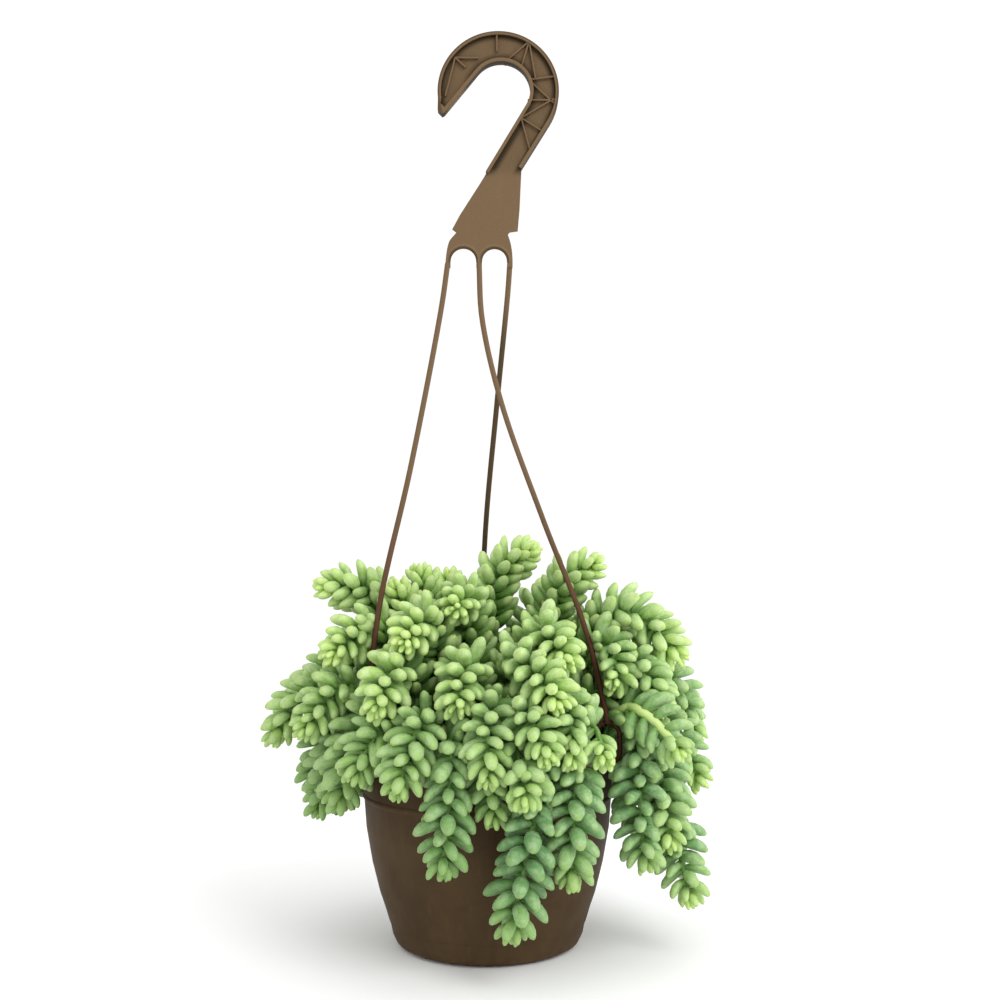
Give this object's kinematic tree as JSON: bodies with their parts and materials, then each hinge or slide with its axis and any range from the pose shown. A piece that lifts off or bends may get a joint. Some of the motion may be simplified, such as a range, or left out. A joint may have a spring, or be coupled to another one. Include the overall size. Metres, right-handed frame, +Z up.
{
  "type": "potted burro's tail plant in a hanging pot",
  "caption": "Trailing succulent with plump overlapping leaves, planted in a round tapered pot that hangs by a three-armed hanger with a ribbed hook.",
  "frame": {"origin": "centre of the pot's flat base", "axes": "+Z up through the pot and its hook, -Y towards the plant's best side, which the picture shows"},
  "size_m": [0.2778, 0.2366, 0.5587],
  "materials": {
    "pot": "matte dark brown moulded plastic",
    "soil": null,
    "hanger": "satin brown moulded plastic",
    "leafy_stem": null
  },
  "bodies": {
    "root": {"pot": "pot", "soil": "soil", "hanger": "hanger", "leafy_stem_01": "leafy_stem", "leafy_stem_02": "leafy_stem", "leafy_stem_03": "leafy_stem", "leafy_stem_04": "leafy_stem", "leafy_stem_05": "leafy_stem", "leafy_stem_06": "leafy_stem", "leafy_stem_07": "leafy_stem", "leafy_stem_08": "leafy_stem", "leafy_stem_09": "leafy_stem", "leafy_stem_10": "leafy_stem", "leafy_stem_11": "leafy_stem", "leafy_stem_12": "leafy_stem", "leafy_stem_13": "leafy_stem", "leafy_stem_14": "leafy_stem", "leafy_stem_15": "leafy_stem", "leafy_stem_16": "leafy_stem", "leafy_stem_17": "leafy_stem", "leafy_stem_18": "leafy_stem", "leafy_stem_19": "leafy_stem", "leafy_stem_20": "leafy_stem", "leafy_stem_21": "leafy_stem", "leafy_stem_22": "leafy_stem", "leafy_stem_23": "leafy_stem", "leafy_stem_24": "leafy_stem", "leafy_stem_25": "leafy_stem", "leafy_stem_26": "leafy_stem", "leafy_stem_27": "leafy_stem", "leafy_stem_28": "leafy_stem", "leafy_stem_29": "leafy_stem", "leafy_stem_30": "leafy_stem", "leafy_stem_31": "leafy_stem", "leafy_stem_32": "leafy_stem", "leafy_stem_33": "leafy_stem", "leafy_stem_34": "leafy_stem", "leafy_stem_35": "leafy_stem", "leafy_stem_36": "leafy_stem", "leafy_stem_37": "leafy_stem", "leafy_stem_38": "leafy_stem", "leafy_stem_39": "leafy_stem", "leafy_stem_40": "leafy_stem", "leafy_stem_41": "leafy_stem", "leafy_stem_42": "leafy_stem", "leafy_stem_43": "leafy_stem", "leafy_stem_44": "leafy_stem", "leafy_stem_45": "leafy_stem", "leafy_stem_46": "leafy_stem", "leafy_stem_47": "leafy_stem", "leafy_stem_48": "leafy_stem", "leafy_stem_49": "leafy_stem", "leafy_stem_50": "leafy_stem", "leafy_stem_51": "leafy_stem", "leafy_stem_52": "leafy_stem", "leafy_stem_53": "leafy_stem", "leafy_stem_54": "leafy_stem", "leafy_stem_55": "leafy_stem", "leafy_stem_56": "leafy_stem", "leafy_stem_57": "leafy_stem"}
  },
  "joints": []
}
